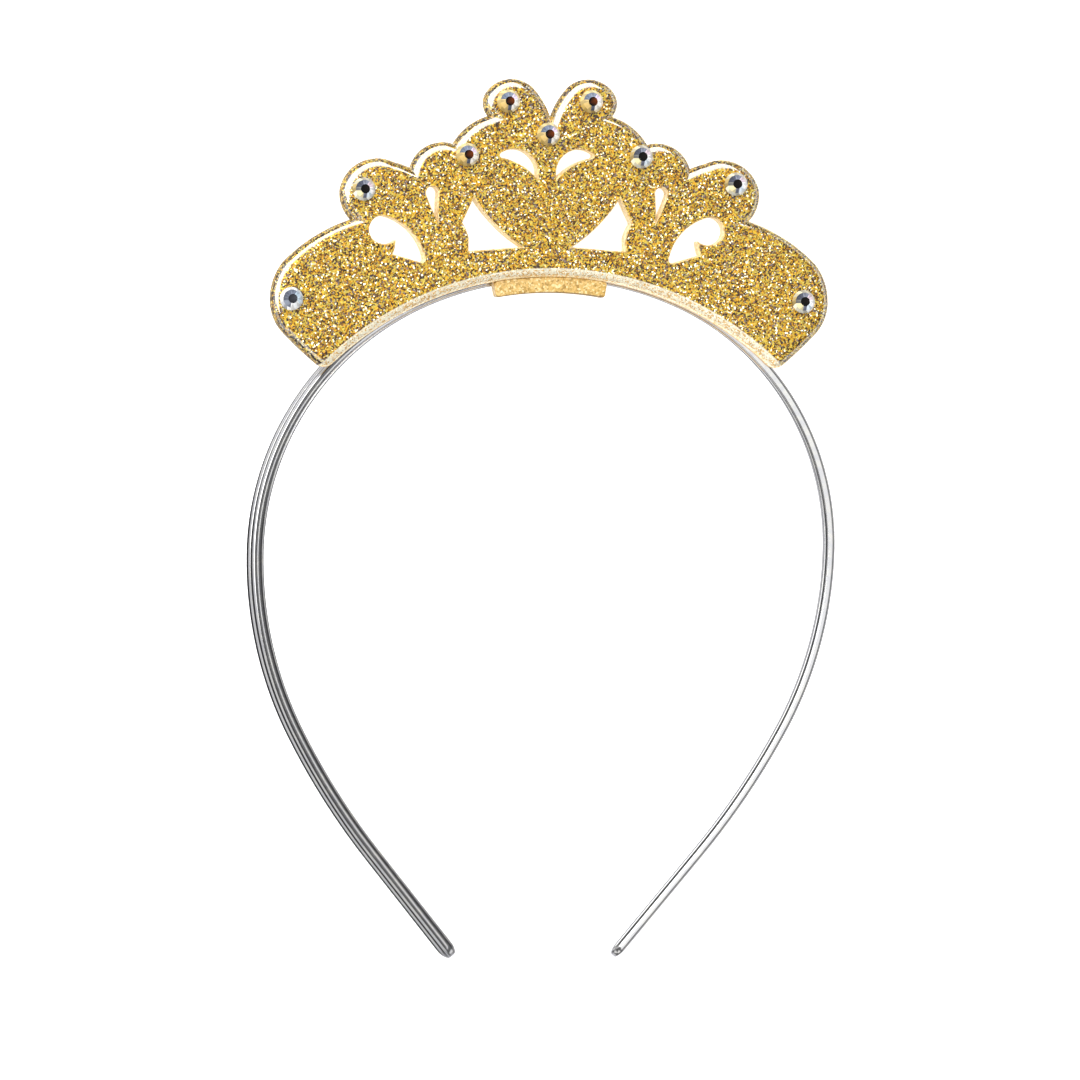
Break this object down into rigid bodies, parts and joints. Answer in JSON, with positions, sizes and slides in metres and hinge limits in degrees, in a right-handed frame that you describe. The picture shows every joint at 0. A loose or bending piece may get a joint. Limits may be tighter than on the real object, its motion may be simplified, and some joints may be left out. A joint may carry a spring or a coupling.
{
  "type": "mini crown headband",
  "caption": "Ribbed horseshoe headband of bright metal with a thick glitter acetate crown plate clipped to its top, pierced around a heart shape and set with crystals.",
  "frame": {"origin": "middle of the bounding box in x and y, on the plane of the band's rear edge", "axes": "+X to the right as the crown is seen from the front, +Y from the band's tips to the crown's top, +Z out of the crown's front"},
  "size_m": [0.1204, 0.1765, 0.0124],
  "materials": {
    "band_metal": "bright, ribbed lengthways",
    "clip_acetate": "polished, fine pale glitter",
    "glitter_acetate": "polished, gold glitter flakes",
    "crystal": "faceted, foiled back"
  },
  "bodies": {
    "root": {"headband": "band_metal", "band_clip": "clip_acetate", "crown_plate": "glitter_acetate", "crystal_1": "crystal", "crystal_2": "crystal", "crystal_3": "crystal", "crystal_4": "crystal", "crystal_5": "crystal", "crystal_6": "crystal", "crystal_7": "crystal", "crystal_8": "crystal", "crystal_9": "crystal"}
  },
  "joints": []
}
